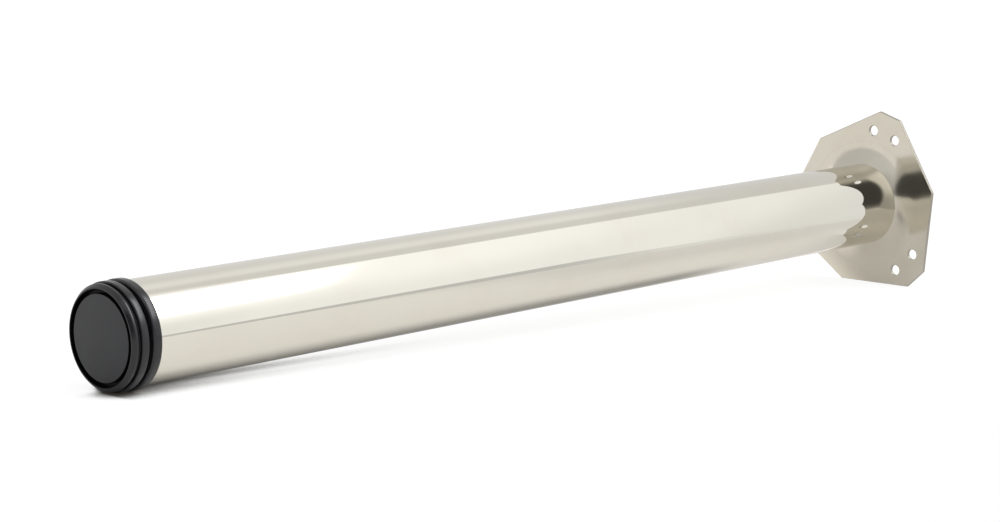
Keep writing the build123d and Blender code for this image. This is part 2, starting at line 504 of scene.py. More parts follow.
def open_material(name: str) -> tuple[bpy.types.Material, NodeBench, bpy.types.Node]:
    """Makes a material with one Principled shader.

    Args:
        name: The material's name.

    Returns:
        The material, a bench for its nodes and the shader's node.
    """
    material = bpy.data.materials.new(name)
    material.use_nodes = True
    bench = NodeBench(material.node_tree)
    shader = bench.add("ShaderNodeBsdfPrincipled")
    output = bench.add("ShaderNodeOutputMaterial")
    bench.feed(output.inputs["Surface"], shader.outputs["BSDF"])
    return material, bench, shader


def axis_radius(bench: NodeBench, place: Any) -> Socket:
    """Gives the distance from the leg's axis, the length of the place without its part along the axis."""
    across = bench.vector_math("MULTIPLY", place, (1.0, 1.0, 0.0)).outputs["Vector"]
    return bench.vector_math("DISTANCE", across, (0.0, 0.0, 0.0)).outputs["Value"]


def add_bump(bench: NodeBench, shader: bpy.types.Node, height: Any, depth: float) -> None:
    """Feeds a height to the shader's normal.

    Args:
        bench: The material's bench.
        shader: The Principled shader.
        height: Socket with the height.
        depth: Depth of a height of 1, in metres.
    """
    bump = bench.add("ShaderNodeBump", {"Height": height, "Strength": 1.0, "Distance": depth})
    bench.feed(shader.inputs["Normal"], bump.outputs["Normal"])


@dataclass(frozen=True)
class PlatedFinish:
    """Polished nickel plating with faint smudges and fine lines from the polishing belt."""

    name: str
    clean_colour: Colour
    smudged_colour: Colour
    clean_roughness: float
    smudged_roughness: float
    smudge_scale: float
    line_stretch: Triple
    line_depth: float
    # dull bore of the tube, and the plate's cut edges: dull sheared edges whose darker colour is also painted
    # shade on the screw holes' walls
    bore_radius: float = 0.0
    cut_radius: float = 0.0
    cut_heights: Range = (0.0, 0.0)
    dull_and_shade_colour: Colour = (0.33, 0.32, 0.30, 1.0)
    dull_roughness: float = 0.42

    def material(self, shelf: EffectShelf) -> bpy.types.Material:
        """Builds the material.

        Args:
            shelf: Shared shader effects.

        Returns:
            The plated metal, dull in the bore, and dull and darker on the cut edges where these are set: a rough
            sheared edge, with painted shade for the walls of the screw holes.
        """
        material, bench, shader = open_material(self.name)
        place = bench.add("ShaderNodeAttribute", attribute_name=PLACE_ATTRIBUTE).outputs["Vector"]
        marks = effect_output(bench, shelf, Effect.HANDLING, {"Place": place, "Scale": self.smudge_scale})
        lines = effect_output(bench, shelf, Effect.LINES, {"Place": place, "Stretch": self.line_stretch})
        colour = bench.mix(marks, self.clean_colour, self.smudged_colour)
        roughness = bench.ramp(marks, 0.0, 1.0, self.clean_roughness, self.smudged_roughness)
        # dull bore, or cut edges that are dull and darkened with painted shade
        dull = self._dull_and_shaded_parts(bench, place)
        colour = bench.mix(dull, colour, self.dull_and_shade_colour)
        roughness = bench.math("MAXIMUM", roughness, bench.product(dull, self.dull_roughness))
        bench.feed(shader.inputs["Base Color"], colour)
        bench.feed(shader.inputs["Roughness"], roughness)
        shader.inputs["Metallic"].default_value = 1.0
        add_bump(bench, shader, lines, self.line_depth)
        return material

    def _dull_and_shaded_parts(self, bench: NodeBench, place: Any) -> Any:
        """Marks the dull bore, or the cut edges outside cut_radius and between the cut heights, which are dull and
        carry painted shade.
        """
        radius = axis_radius(bench, place)
        if self.bore_radius:
            return bench.math("LESS_THAN", radius, self.bore_radius)
        if self.cut_radius:
            height = bench.add("ShaderNodeSeparateXYZ", {"Vector": place}).outputs["Z"]
            outside = bench.math("GREATER_THAN", radius, self.cut_radius)
            return bench.product(bench.within(height, self.cut_heights), outside)
        return 0.0


@dataclass(frozen=True)
class MouldedFinish:
    """Moulded plastic with a fine grain, a few rubbed patches, and painted shade in the groove round the cap."""

    name: str
    colour: Colour
    rubbed_colour: Colour
    roughness: float
    rubbed_roughness: float
    grain_scale: float
    grain_depth: float
    groove: Range
    rub_scale: float = 60.0
    sheen: float = 0.5
    # painted shade in the groove: its height over the sole, its near-black colour and its low sheen
    groove_height: float = 3.2 * MM
    painted_groove_shade_colour: Colour = (0.003, 0.003, 0.003, 1.0)
    painted_groove_shade_sheen: float = 0.05

    def material(self, shelf: EffectShelf) -> bpy.types.Material:
        """Builds the material.

        Args:
            shelf: Shared shader effects.

        Returns:
            The plastic, with painted shade in the groove round the cap: black and without sheen there.
        """
        material, bench, shader = open_material(self.name)
        place = bench.add("ShaderNodeAttribute", attribute_name=PLACE_ATTRIBUTE).outputs["Vector"]
        marks = effect_output(bench, shelf, Effect.HANDLING, {"Place": place, "Scale": self.rub_scale})
        grain = effect_output(bench, shelf, Effect.GRAIN, {"Place": place, "Scale": self.grain_scale})
        colour = bench.mix(marks, self.colour, self.rubbed_colour)
        # painted shade: the groove round the cap is made black and loses its sheen
        groove = self._painted_groove_shade(bench, place)
        bench.feed(shader.inputs["Base Color"], bench.mix(groove, colour, self.painted_groove_shade_colour))
        bench.feed(shader.inputs["Specular IOR Level"], bench.blend(groove, self.sheen, self.painted_groove_shade_sheen))
        roughness = bench.ramp(marks, 0.0, 1.0, self.roughness, self.rubbed_roughness)
        bench.feed(shader.inputs["Roughness"], roughness)
        add_bump(bench, shader, grain, self.grain_depth)
        return material

    def _painted_groove_shade(self, bench: NodeBench, place: Any) -> Socket:
        """Marks where shade is painted in the groove round the cap, between two radii and below a height over the
        sole.
        """
        radius = axis_radius(bench, place)
        height = bench.add("ShaderNodeSeparateXYZ", {"Vector": place}).outputs["Z"]
        low = bench.math("LESS_THAN", height, self.groove_height)
        return bench.product(bench.within(radius, self.groove), low)


@dataclass(frozen=True)
class ZincFinish:
    """Zinc-plated steel: bluish, cloudy and a little rough."""

    name: str = "zinc_plating"
    bright: Colour = (0.62, 0.64, 0.67, 1.0)
    dull: Colour = (0.47, 0.47, 0.46, 1.0)
    bright_roughness: float = 0.28
    dull_roughness: float = 0.45
    cloud_scale: float = 220.0
    grain_scale: float = 2600.0
    grain_depth: float = 0.01 * MM

    def material(self, shelf: EffectShelf) -> bpy.types.Material:
        """Builds the material.

        Args:
            shelf: Shared shader effects.

        Returns:
            The zinc-plated steel.
        """
        material, bench, shader = open_material(self.name)
        place = bench.add("ShaderNodeTexCoord").outputs["Object"]
        clouds = effect_output(bench, shelf, Effect.HANDLING, {"Place": place, "Scale": self.cloud_scale})
        grain = effect_output(bench, shelf, Effect.GRAIN, {"Place": place, "Scale": self.grain_scale})
        bench.feed(shader.inputs["Base Color"], bench.mix(clouds, self.bright, self.dull))
        roughness = bench.ramp(clouds, 0.0, 1.0, self.bright_roughness, self.dull_roughness)
        bench.feed(shader.inputs["Roughness"], roughness)
        shader.inputs["Metallic"].default_value = 1.0
        add_bump(bench, shader, grain, self.grain_depth)
        return material


@dataclass(frozen=True)
class Workshop:
    """What every piece needs: the leg's axes and the finished materials."""

    axes: LegAxes
    materials: dict[Slot, bpy.types.Material]

    def piece(self, name: str, shell: Shell, body: Body, slot: Slot, node: str) -> None:
        """Makes one finished piece of the leg.

        Args:
            name: The piece's name.
            shell: Its surface in the leg's axes.
            body: The body that it moves with.
            slot: Its material slot.
            node: The solid of the frame that it stands for.
        """
        mesh = bpy.data.meshes.new(name)
        faces = [face for block in shell.faces for face in block.tolist()]
        mesh.from_pydata(self.axes.place(shell.points).tolist(), [], faces)
        self._close(mesh)
        self._store_place(mesh)
        mesh.materials.append(self.materials[slot])
        piece = bpy.data.objects.new(name, mesh)
        bpy.context.scene.collection.objects.link(piece)
        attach(piece, body.value)
        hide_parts(node)
        log.info("%s: %d points, %d faces, on %s", name, len(mesh.vertices), len(mesh.polygons), body.value)

    @staticmethod
    def _close(mesh: bpy.types.Mesh, sharp_angle: float = math.radians(22)) -> None:
        """Merges the points that meet at seams and poles, and shades all but the sharp edges smoothly."""
        work = bmesh.new()
        work.from_mesh(mesh)
        bmesh.ops.remove_doubles(work, verts=work.verts, dist=MERGE_DISTANCE)
        work.to_mesh(mesh)
        work.free()
        mesh.shade_smooth()
        mesh.set_sharp_from_angle(angle=sharp_angle)

    def _store_place(self, mesh: bpy.types.Mesh) -> None:
        """Keeps each point's place in the leg's axes, which the finishes read."""
        flat = np.empty(3 * len(mesh.vertices))
        mesh.vertices.foreach_get("co", flat)
        local = self.axes.local(flat.reshape(-1, 3))
        attribute = mesh.attributes.new(PLACE_ATTRIBUTE, "FLOAT_VECTOR", "POINT")
        attribute.data.foreach_set("vector", local.astype(np.float32).ravel())


@dataclass
class Tube:
    """Steel tube with a weld seam inside its bore."""

    shop: Workshop
    wall: float = 1.2 * MM
    end_round: float = 0.25 * MM
    end_margin: float = 1.0 * MM
    seam_height: float = 0.35 * MM
    seam_width: float = 1.6 * MM
    seam_angle: float = math.radians(200)
    seam_start: float = 30 * MM
    seam_run_in: float = 6 * MM

    def build(self) -> None:
        """Builds the tube from its span in the frame.

        Rows a margin inside both ends keep the shading of the rounded edges off the long walls.
        """
        span = Span.of("leg_tube", self.shop.axes)
        bore = span.radius - self.wall
        seam_low = span.low + self.seam_start
        profile = np.array([
            (bore, span.low, self.end_round),
            (span.radius, span.low, self.end_round),
            (span.radius, span.low + self.end_margin, 0),
            (span.radius, span.high - self.end_margin, 0),
            (span.radius, span.high, self.end_round),
            (bore, span.high, self.end_round),
            (bore, span.high - self.end_margin, 0),
            (bore, seam_low + self.seam_run_in, 0),
            (bore, seam_low, 0),
        ])
        shell = turn(rounded(profile)[0])
        self._raise_seam(shell, bore, seam_low)
        self.shop.piece("tube_shell", shell, Body.LEG, Slot.TUBE, "leg_tube")

    def _raise_seam(self, shell: Shell, bore: float, seam_low: float) -> None:
        """Raises the inner weld seam.

        The bore's radius falls by h exp(-(d / w)^2), where d is the distance round the bore from the
        seam's middle, h the seam's height and w its half-width.

        Args:
            shell: The tube, whose points are changed in place.
            bore: Radius of the bore.
            seam_low: Place along the axis above which the seam stands.
        """
        x, y, z = shell.points.T
        radius = np.hypot(x, y)
        turn_away = np.arctan2(y, x) - self.seam_angle
        distance = bore * np.angle(np.exp(1j * turn_away))
        inside = (radius < bore + MERGE_DISTANCE) & (z > seam_low + self.seam_run_in / 2)
        rise = np.where(inside, self.seam_height * np.exp(-((distance / (self.seam_width / 2)) ** 2)), 0)
        shell.points[:, :2] *= (1 - rise / radius)[:, None]


@dataclass
class ScrewPlate:
    """Pressed plate with three lobes, a dished ring round the tube and three pairs of screw holes."""

    shop: Workshop
    lobes: int = 3
    thickness: float = 2.5 * MM
    lobe_reach: float = 70.8 * MM
    tip_width: float = 18.6 * MM
    waist_reach: float = 62.1 * MM
    corner_round: float = 1.0 * MM
    corner_steps: int = 4
    edge_round: float = 0.35 * MM
    edge_steps: int = 4
    dish_radius: float = 46.5 * MM
    dish_depth: float = 2.6 * MM
    dish_steps: int = 14
    tube_hole: float = 30.03 * MM
    screw_hole: float = 3.75 * MM
    hole_spacing: float = 20.0 * MM
    hole_segments: int = 48
    flat_margin: float = 0.4 * MM

    @property
    def table(self) -> float:
        """Place of the table face along the axis."""
        return float(self.shop.axes.mount("table_face")[2])

    def build(self) -> None:
        """Builds the plate below the table face that the record gives."""
        edges = [self._outline_loops(), *self._hole_loops()]
        shell = self._flats([rows[0] for rows in edges] + [self._dish_rim()]) + self._dish()
        for rows in edges:
            shell = shell + self._wall(rows)
        self.shop.piece("plate_sheet", shell, Body.LEG, Slot.PLATE, "mounting_plate")

    def _lobe_frames(self) -> tuple[np.ndarray, np.ndarray, np.ndarray]:
        """Finds the lobes in the plate's plane.

        Returns:
            The middle of each lobe's screw pair, and the unit vectors out along the lobe and across it.
        """
        pairs = [self.shop.axes.mount(f"screw_pair_{lobe + 1}")[:2] for lobe in range(self.lobes)]
        middles = np.array(pairs)
        out = middles / np.linalg.norm(middles, axis=1, keepdims=True)
        return middles, out, np.stack([-out[:, 1], out[:, 0]], axis=1)

    def _edge_rows(self) -> tuple[np.ndarray, np.ndarray]:
        """Gives the rounded edge of the sheet from one face to the other.

        A quarter circle of radius e has the inset e (1 - sin t) and the depth e (1 - cos t). A flat margin
        lies inside it, so that the shading of the edge doesn't spread over the sheet.

        Returns:
            How far each row lies inside the full outline, and its place along the axis.
        """
        t = np.linspace(0, math.pi / 2, self.edge_steps)
        inset = np.append(self.edge_round + self.flat_margin, self.edge_round * (1 - np.sin(t)))
        depth = np.append(0.0, self.edge_round * (1 - np.cos(t)))
        low = self.table - self.thickness
        height = np.concatenate([low + depth, self.table - depth[::-1]])
        return np.concatenate([inset, inset[::-1]]), height

    def _outline_loops(self) -> np.ndarray:
        """Gives the lobed outline at each row of the sheet's edge.

        A corner of the outline moved in by d lies at P + d (m + n) / (1 + m.n), where m and n are the
        inward normals of its two sides.

        Returns:
            Points by row, number and coordinate.
        """
        _, out, side = self._lobe_frames()
        half_tip = self.tip_width / 2
        pitch = math.pi / self.lobes
        waist = self.waist_reach * (math.cos(pitch) * out + math.sin(pitch) * side)
        tip = self.lobe_reach * out
        corners = np.stack([tip - half_tip * side, tip + half_tip * side, waist], axis=1).reshape(-1, 2)
        along = np.roll(corners, -1, axis=0) - corners
        along /= np.linalg.norm(along, axis=1, keepdims=True)
        normal = np.stack([-along[:, 1], along[:, 0]], axis=1)
        earlier = np.roll(normal, 1, axis=0)
        shift = (normal + earlier) / (1 + np.sum(normal * earlier, axis=1, keepdims=True))
        rows = []
        for inset, height in zip(*self._edge_rows()):
            radii = np.full(len(corners), max(self.corner_round - inset, self.edge_round))
            profile = np.column_stack([corners + inset * shift, radii])
            loop = rounded(profile, self.corner_steps)[0]
            rows.append(np.column_stack([loop, np.full(len(loop), height)]))
        return np.array(rows)

    def _hole_centres(self) -> np.ndarray:
        """Gives the centres of the screw holes, to both sides of each pair's middle."""
        middles, _, side = self._lobe_frames()
        return np.concatenate([middles + sign * self.hole_spacing / 2 * side for sign in (-1, 1)])

    def _hole_loops(self) -> list[np.ndarray]:
        """Gives the circles of each screw hole, with rounded edges, by row of the sheet's edge."""
        angle = -2 * math.pi * np.arange(self.hole_segments) / self.hole_segments
        circle = np.stack([np.cos(angle), np.sin(angle)], axis=1)
        inset, height = self._edge_rows()
        radius = (self.screw_hole + inset)[:, None, None]
        heights = np.broadcast_to(height[:, None, None], (len(height), self.hole_segments, 1))
        return [
            np.concatenate([centre + radius * circle, heights], axis=2)
            for centre in self._hole_centres()
        ]

    def _dish_rim(self) -> np.ndarray:
        """Gives the circle where the flat sheet meets the margin of the dish."""
        angle = 2 * math.pi * np.arange(LATHE_SEGMENTS) / LATHE_SEGMENTS
        return self._flat_start() * np.stack([np.cos(angle), np.sin(angle)], axis=1)

    def _flat_start(self) -> float:
        """Radius at which the flat sheet starts, a margin outside the dish."""
        return self.dish_radius + self.flat_margin

    def _flats(self, loops: list[np.ndarray]) -> Shell:
        """Fills both flat faces between the outline, the screw holes and the dish.

        Args:
            loops: Closed loops of points, the outline first.

        Returns:
            The two faces.
        """
        flat = np.concatenate([loop[:, :2] for loop in loops])
        edges = []
        start = 0
        for loop in loops:
            number = np.arange(len(loop))
            edges.append(start + np.stack([number, (number + 1) % len(loop)], axis=1))
            start += len(loop)
        inside_outline = 1
        points = [Vector(point) for point in flat]
        found = delaunay_2d_cdt(points, np.concatenate(edges).tolist(), [], inside_outline, TINY)
        corners = np.array([tuple(point) for point in found[0]])
        triangles = np.array(found[2])
        triangles = triangles[self._on_sheet(corners[triangles].mean(axis=1))]
        table = np.column_stack([corners, np.full(len(corners), self.table)])
        under = np.column_stack([corners, np.full(len(corners), self.table - self.thickness)])
        return Shell(table, [triangles]) + Shell(under, [triangles[:, ::-1]])

    def _on_sheet(self, spots: np.ndarray) -> np.ndarray:
        """Tells which spots of the plate's plane lie on the flat sheet, outside the holes and the dish."""
        centres = np.concatenate([np.zeros((1, 2)), self._hole_centres()])
        radii = np.full(len(centres), self.screw_hole + self.edge_round + self.flat_margin)
        radii[0] = self._flat_start()
        away = np.linalg.norm(spots[:, None, :] - centres[None, :, :], axis=2)
        return np.all(away > radii * math.cos(math.pi / self.hole_segments), axis=1)

    @staticmethod
    def _wall(rows: np.ndarray) -> Shell:
        """Joins the rows of an edge into a wall.

        Args:
            rows: Points by row, number and coordinate, with the row on the foot's side first.

        Returns:
            The wall.
        """
        points = np.swapaxes(rows, 0, 1)
        return Shell(points.reshape(-1, 3), [grid_faces(points.shape[0], points.shape[1], False)])

    def _dish(self) -> Shell:
        """Turns the dished ring round the tube, from one face of the sheet to the other.

        At the radius r the sheet drops towards the foot by d ((R - r) / (R - h))^2, for the dish's depth d
        and outer radius R and the tube hole's radius h.

        Returns:
            The ring, with a flat margin outside it.
        """
        radius = np.linspace(self.dish_radius, self.tube_hole, self.dish_steps)
        share = (self.dish_radius - radius) / (self.dish_radius - self.tube_hole)
        height = self.table - self.dish_depth * share**2
        margin = self._flat_start()
        upper = np.column_stack([np.append(margin, radius), np.append(self.table, height)])
        lower = upper[::-1] - (0.0, self.thickness)
        return turn(np.concatenate([upper, lower]), closed=False)


@dataclass
class WeldRing:
    """Ring weld between the tube's end and the plate, on the table side."""

    shop: Workshop
    crown: float = 0.14 * MM
    ripple: float = 0.07 * MM
    ripples: int = 118
    wander: float = 0.12 * MM
    slow_waves: int = 5
    quick_waves: int = 11
    quick_share: float = 0.6
    quick_phase: float = 1.3
    toe_rise: float = 0.12
    steps: int = 9
    segments: int = 1440

    def build(self) -> None:
        """Builds the bead.

        Its face bulges from the toe to the tube's end by c sin(pi s), where s goes from 0 to 1 over the
        face, and c is the crown plus a ripple |sin| that makes the overlapping scales of a weld. The toe
        wanders in and out by a sum of two slow waves.
        """
        tube = Span.of("leg_tube", self.shop.axes)
        bead = Span.of("weld_bead", self.shop.axes)
        angle = 2 * math.pi * np.arange(self.segments) / self.segments
        share = np.linspace(0, 1, self.steps)
        size = bead.radius - tube.radius
        quick = self.quick_share * np.sin(self.quick_waves * angle + self.quick_phase)
        waves = (np.sin(self.slow_waves * angle) + quick) / 2
        toe_r = bead.radius - self.wander + self.wander * waves
        toe_z = bead.low + (tube.high - bead.low) * self.toe_rise
        scale = np.abs(np.sin(self.ripples * angle / 2))
        crown = (self.crown + self.ripple * scale)[:, None] * np.sin(math.pi * share)
        radius = toe_r[:, None] * (1 - share) + tube.radius * share + crown
        height = toe_z * (1 - share) + tube.high * share + crown * size / (tube.high - bead.low)
        root_r = np.full((self.segments, 1), tube.radius)
        root_z = np.full((self.segments, 1), bead.low)
        radius = np.concatenate([root_r, radius], axis=1)
        height = np.concatenate([root_z, np.minimum(height, tube.high)], axis=1)
        cos, sin = np.cos(angle)[:, None], np.sin(angle)[:, None]
        points = np.stack([radius * cos, radius * sin, height], axis=-1)
        shell = Shell(points.reshape(-1, 3), [grid_faces(self.segments, self.steps + 1, True)])
        self.shop.piece("weld_ring", shell, Body.LEG, Slot.WELD, "weld_bead")


@dataclass
class Plug:
    """Moulded plug in the tube: rounded flange, skirt, and a ribbed boss with a pocket for the nut."""

    shop: Workshop
    front_round: float = 1.6 * MM
    back_round: float = 0.6 * MM
    skirt_clearance: float = 1.4 * MM
    skirt_wall: float = 2.4 * MM
    web: float = 2.6 * MM
    pocket_half_width: float = 8.6 * MM
    boss_wall: float = 3.0 * MM
    boss_backing: float = 4.0 * MM
    stud_bore: float = 5.3 * MM
    ribs: int = 6
    rib_thickness: float = 2.0 * MM
    rib_drop: float = 3.0 * MM
    edge_round: float = 0.4 * MM

    def build(self) -> None:
        """Builds the plug and its ribs from their span in the frame."""
        span = Span.of("foot_insert", self.shop.axes)
        tube = Span.of("leg_tube", self.shop.axes)
        nut = Span.of("insert_nut", self.shop.axes)
        skirt = tube.radius - self.skirt_clearance
        inner = skirt - self.skirt_wall
        web_z = span.low + self.web
        boss = nut.radius + self.boss_wall
        boss_z = nut.high + self.boss_backing
        edge = self.edge_round
        profile = np.array([
            (self.pocket_half_width, span.low, 0),
            (span.radius, span.low, self.front_round),
            (span.radius, tube.low, self.back_round),
            (skirt, tube.low, 0),
            (skirt, span.high, edge),
            (inner, span.high, edge),
            (inner, web_z, edge),
            (boss, web_z, edge),
            (boss, boss_z, edge),
            (self.stud_bore, boss_z, edge),
            (self.stud_bore, nut.high, 0),
            (self.pocket_half_width, nut.high, 0),
        ])
        outline, owner = rounded(profile)
        flats = (owner == 0) | (owner == len(profile) - 1)
        rib_z = min(boss_z, span.high - self.rib_drop)
        ribs = radial_ribs(self.ribs, self.rib_thickness, boss, inner, web_z, rib_z)
        shell = turn(outline, flats=flats) + ribs
        self.shop.piece("plug_moulding", shell, Body.LEG, Slot.PLASTIC, "foot_insert")


@dataclass
class Stud:
    """Levelling stud with a round head and a rolled thread."""

    shop: Workshop
    head_height: float = 3.0 * MM
    head_round: float = 0.4 * MM
    crest: float = 5.0 * MM
    root: float = 4.1 * MM
    end_chamfer: float = 1.0 * MM
    pitch: float = 1.5 * MM
    flank_width: float = 1.3 * MM
    crest_width: float = 0.22 * MM
    overlap: float = 0.2 * MM
    steps_per_turn: int = 60

    def build(self) -> None:
        """Builds the bar and its thread from their span in the frame."""
        span = Span.of("levelling_stud", self.shop.axes)
        shoulder = span.low + self.head_height
        profile = np.array([
            (0, span.low, 0),
            (span.radius, span.low, self.head_round),
            (span.radius, shoulder, self.head_round),
            (self.root, shoulder, 0),
            (self.root, span.high - self.end_chamfer / 2, 0),
            (self.root - self.end_chamfer / 2, span.high, 0),
            (0, span.high, 0),
        ])
        bar = turn(rounded(profile)[0], closed=False)
        thread = self._thread(shoulder + self.pitch, span.high - self.end_chamfer)
        self.shop.piece("stud_bar", bar + thread, Body.STUD, Slot.ZINC, "levelling_stud")

    def _thread(self, low: float, high: float) -> Shell:
        """Carries the thread's section along a helix.

        At the angle t the section's middle is low + pitch t / 2 pi up the axis. The ridge rises from the
        root to the crest over the first turn and falls again over the last.

        Args:
            low: Where the thread starts.
            high: Where it ends.

        Returns:
            The ridge, closed at both ends.
        """
        turns = (high - low) / self.pitch
        share = np.linspace(0, turns, int(turns * self.steps_per_turn))[:, None]
        fade = np.clip(np.minimum(share, turns - share), 0, 1)
        base = self.root - self.overlap
        wide, narrow = self.flank_width / 2, self.crest_width / 2
        offset = np.array([-wide, -wide, -narrow, narrow, wide, wide])[None, ::-1]
        rise = np.array([0, 0, 1, 1, 0, 0])[None, :] * (self.crest - self.root) * fade
        floor = np.array([base, self.root, self.root, self.root, self.root, base])[None, :]
        radius = floor + rise
        height = low + self.pitch * share + offset
        angle = 2 * math.pi * share
        points = np.stack([radius * np.cos(angle), radius * np.sin(angle), height], axis=-1)
        count, size = radius.shape
        quads = grid_faces(count, size, True)[: (count - 1) * size, ::-1]
        ends = np.stack([np.arange(size), np.arange(count * size - 1, (count - 1) * size - 1, -1)])
        return Shell(points.reshape(-1, 3), [quads, ends])


@dataclass
class Foot:
    """Black foot with a tapered front ring, a grip ring and a neck, and the grey cap in its sole."""

    shop: Workshop
    lip_radius: float = 28.4 * MM
    lip_width: float = 1.0 * MM
    lip_round: float = 0.6 * MM
    front_radius: float = 30.2 * MM
    taper_height: float = 1.9 * MM
    shoulder_round: float = 1.1 * MM
    front_height: float = 3.4 * MM
    groove_radius: float = 28.6 * MM
    groove_height: float = 2.0 * MM
    grip_height: float = 4.8 * MM
    grip_round: float = 0.8 * MM
    neck_radius: float = 28.2 * MM
    wall: float = 2.5 * MM
    head_clearance: float = 0.3 * MM
    head_play: float = 0.1 * MM
    stud_bore: float = 5.3 * MM
    ribs: int = 6
    rib_thickness: float = 2.0 * MM
    rib_drop: float = 0.6 * MM
    edge_round: float = 0.3 * MM
    cap_round: float = 0.5 * MM

    def build(self) -> None:
        """Builds the foot and its cap from their spans in the frame."""
        body = Span.of("foot_body", self.shop.axes)
        cap = Span.of("sole_cap", self.shop.axes)
        self._build_body(body, cap)
        disc = np.array([
            (0, cap.low, 0),
            (cap.radius, cap.low, self.cap_round),
            (cap.radius, cap.high, self.edge_round),
            (0, cap.high, 0),
        ])
        shell = turn(rounded(disc)[0], closed=False)
        self.shop.piece("cap_disc", shell, Body.FOOT, Slot.CAP, "sole_cap")

    def _build_body(self, body: Span, cap: Span) -> None:
        """Builds the foot's own moulding, hollow behind its web and with a pocket for the stud's head.

        Args:
            body: The foot's span in the frame.
            cap: The cap's span, on which the web stands.
        """
        head = Span.of("levelling_stud", self.shop.axes)
        ceiling = head.low + Stud.head_height + self.head_play
        head_pocket = head.radius + self.head_clearance
        hub = head_pocket + self.wall
        pocket = self.lip_radius - self.lip_width
        front_z = body.low + self.front_height
        grip_z = front_z + self.groove_height
        neck_z = grip_z + self.grip_height
        core = self.neck_radius - self.wall
        web_z = cap.high + self.wall
        edge = self.edge_round
        profile = np.array([
            (pocket, body.low, edge),
            (self.lip_radius, body.low, self.lip_round),
            (self.front_radius, body.low + self.taper_height, self.shoulder_round),
            (self.front_radius, front_z, edge),
            (self.groove_radius, front_z, edge),
            (self.groove_radius, grip_z, edge),
            (body.radius, grip_z, self.grip_round),
            (body.radius, neck_z, self.grip_round),
            (self.neck_radius, neck_z, edge),
            (self.neck_radius, body.high, edge),
            (core, body.high, edge),
            (core, web_z, edge),
            (hub, web_z, edge),
            (hub, body.high, edge),
            (self.stud_bore, body.high, 0),
            (self.stud_bore, ceiling, 0),
            (head_pocket, ceiling, 0),
            (head_pocket, cap.high, 0),
            (pocket, cap.high, 0),
        ])
        ribs = radial_ribs(self.ribs, self.rib_thickness, hub, core, web_z, body.high - self.rib_drop)
        shell = turn(rounded(profile)[0]) + ribs
        self.shop.piece("foot_moulding", shell, Body.FOOT, Slot.PLASTIC, "foot_body")


@dataclass(frozen=True)
class StudioCamera:
    """Camera at the photograph's place, with angles in degrees and the lens in millimetres."""

    position: Triple = (-1.14970, -1.07328, 0.25405)
    azimuth: float = -46.056
    elevation: float = 7.633
    roll: float = 1.105
    lens: float = 87.656
    sensor: float = 36.0

    def build(self) -> None:
        """Makes the camera and gives it to the scene."""
        azimuth, elevation = math.radians(self.azimuth), math.radians(self.elevation)
        back = Vector((
            math.sin(azimuth) * math.cos(elevation),
            -math.cos(azimuth) * math.cos(elevation),
            math.sin(elevation),
        ))
        right = (-back).cross(Vector((0, 0, 1))).normalized()
        up = right.cross(-back)
        level = Matrix((right, up, back)).transposed().to_4x4()
        data = bpy.data.cameras.new("studio_camera")
        data.lens = self.lens
        data.sensor_width = self.sensor
        camera = bpy.data.objects.new("studio_camera", data)
        roll = Matrix.Rotation(math.radians(self.roll), 4, "Z")
        camera.matrix_world = Matrix.Translation(self.position) @ level @ roll
        bpy.context.scene.collection.objects.link(camera)
        bpy.context.scene.camera = camera


@dataclass(frozen=True)
class Panel:
    """Part of the soft light in front: adds to the level where a direction lies in its ranges."""

    gain: float
    enter: Optional[Range] = None
    leave: Optional[Range] = None
    rise: Optional[Range] = None
    ahead: Optional[Range] = None

    def share(self, bench: NodeBench, x: Any, z: Any, before_edge: Any) -> Socket:
        """Gives the panel's addition to the level.

        Args:
            bench: The world's bench.
            x: The direction's part along the leg.
            z: The direction's part upwards.
            before_edge: How far the direction lies in front of the light's back edge.

        Returns:
            The gain, faded out at the ends of each range.
        """
        along = bench.fade(x, self.enter, self.leave)
        above = bench.fade(z, self.rise)
        return bench.product(along, above, bench.fade(before_edge, self.ahead), self.gain)


@dataclass(frozen=True)
class FloorShade:
    """Painted light or shade on the floor, as the leg mirrors it, between soft limits in metres."""

    gain: float
    enter: Optional[Range] = None
    leave: Optional[Range] = None
    near: Optional[Range] = None
    far: Optional[Range] = None
    skew: float = 0.0

    def share(self, bench: NodeBench, x: Any, y: Any) -> Socket:
        """Gives the shade's addition to the floor's white.

        The start along the leg lies at x + s y, where s is the skew, so that it can run askew.

        Args:
            bench: The floor's bench.
            x: The place along the leg.
            y: The place across the leg, away from the camera.

        Returns:
            The gain, faded out at the ends of each range.
        """
        skewed = bench.math("ADD", x, bench.product(y, self.skew))
        along = bench.product(bench.fade(skewed, self.enter), bench.fade(x, leave=self.leave))
        return bench.product(along, bench.fade(y, self.near, self.far), self.gain)


@dataclass(frozen=True)
class CloseShadow:
    """Part of the soft shadow next to the leg, by how open the space about one leaning direction is."""

    lean: Triple
    seen_range: Range
    mirrored_range: Range
    reach: float = 300.0 * MM
    rays: int = 32

    def share(self, bench: NodeBench, seen: Any) -> Socket:
        """Gives the share of the light that is left.

        Args:
            bench: The floor's bench.
            seen: 1 where the camera looks at the floor, 0 where the leg mirrors it.

        Returns:
            The open share of the space about the lean, spread from 0 to 1 over its range.
        """
        inputs = {"Distance": self.reach, "Normal": bench.vector(self.lean)}
        open_share = bench.add("ShaderNodeAmbientOcclusion", inputs, samples=self.rays).outputs["AO"]
        mirrored = bench.ramp(open_share, *self.mirrored_range)
        return bench.blend(seen, mirrored, bench.ramp(open_share, *self.seen_range))


